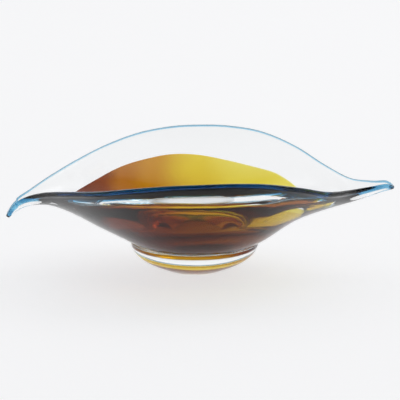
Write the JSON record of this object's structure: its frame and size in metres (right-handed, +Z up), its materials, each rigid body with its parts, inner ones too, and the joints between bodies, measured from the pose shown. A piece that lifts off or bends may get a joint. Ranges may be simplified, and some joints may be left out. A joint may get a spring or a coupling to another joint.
{
  "type": "art glass bowl",
  "caption": "Low round glass bowl on a solid conical foot, rim pulled out into a drooping tip and a level tip, amber core in clear glass and a blue wrap along the lip.",
  "frame": {"origin": "under the middle of the length and of the width, on the plane of the ground base, whose own middle lies 5.5 mm towards the drooping tip", "axes": "+Z up, +X along the long way towards the level tip, -X towards the drooping tip, +Y towards the back side"},
  "size_m": [0.397, 0.282, 0.123],
  "materials": {
    "clear_glass": "polished, fire-polished at the lip, ground and polished under the foot",
    "amber_glass": "transparent amber, smooth",
    "blue_glass": "dark transparent blue, fire-polished"
  },
  "bodies": {
    "root": {"clear_foot": "clear_glass", "clear_outer_casing": "clear_glass", "amber_core": "amber_glass", "clear_inner_lining": "clear_glass", "blue_lip_wrap": "blue_glass"}
  },
  "joints": []
}
